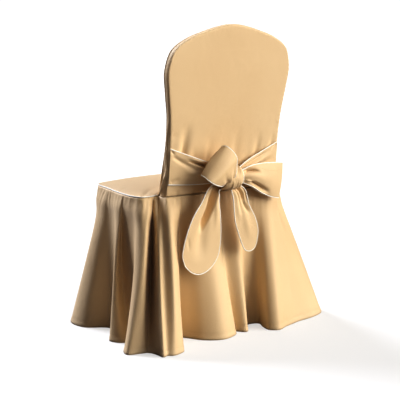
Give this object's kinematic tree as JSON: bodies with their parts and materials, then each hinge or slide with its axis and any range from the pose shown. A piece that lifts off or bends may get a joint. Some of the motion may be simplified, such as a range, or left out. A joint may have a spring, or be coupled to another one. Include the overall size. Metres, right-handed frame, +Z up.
{
  "type": "fitted chair cover with piped sash bow",
  "caption": "Fitted cloth cover for a crown-back banquet chair, with a gathered floor-length skirt, a crowned seat and a wide piped sash tied in a bow behind.",
  "frame": {"origin": "on the floor, under the middle of the skirt's footprint", "axes": "+Z up, the sitter faces -Y, +X to the sitter's left; the bow is on the +Y side"},
  "size_m": [0.7917, 0.5516, 0.9391],
  "materials": {
    "tan_cloth": "smooth tan cotton satin with a soft sheen",
    "cream_piping": "cream bias-covered cord"
  },
  "bodies": {
    "root": {"back_panel": "tan_cloth", "front_panel": "tan_cloth", "back_gusset": "tan_cloth", "seat_panel": "tan_cloth", "skirt": "tan_cloth", "knot": "tan_cloth", "sash_left": "tan_cloth", "sash_right": "tan_cloth", "loop_up": "tan_cloth", "loop_right": "tan_cloth", "tail_left": "tan_cloth", "tail_right": "tan_cloth", "piping_seat": "cream_piping", "piping_knot": "cream_piping", "sash_left_piping_top": "cream_piping", "sash_left_piping_bottom": "cream_piping", "sash_right_piping_top": "cream_piping", "loop_up_piping_a": "cream_piping", "loop_up_piping_b": "cream_piping", "loop_right_piping_a": "cream_piping", "loop_right_piping_b": "cream_piping", "tail_left_piping": "cream_piping", "tail_right_piping": "cream_piping"}
  },
  "joints": []
}
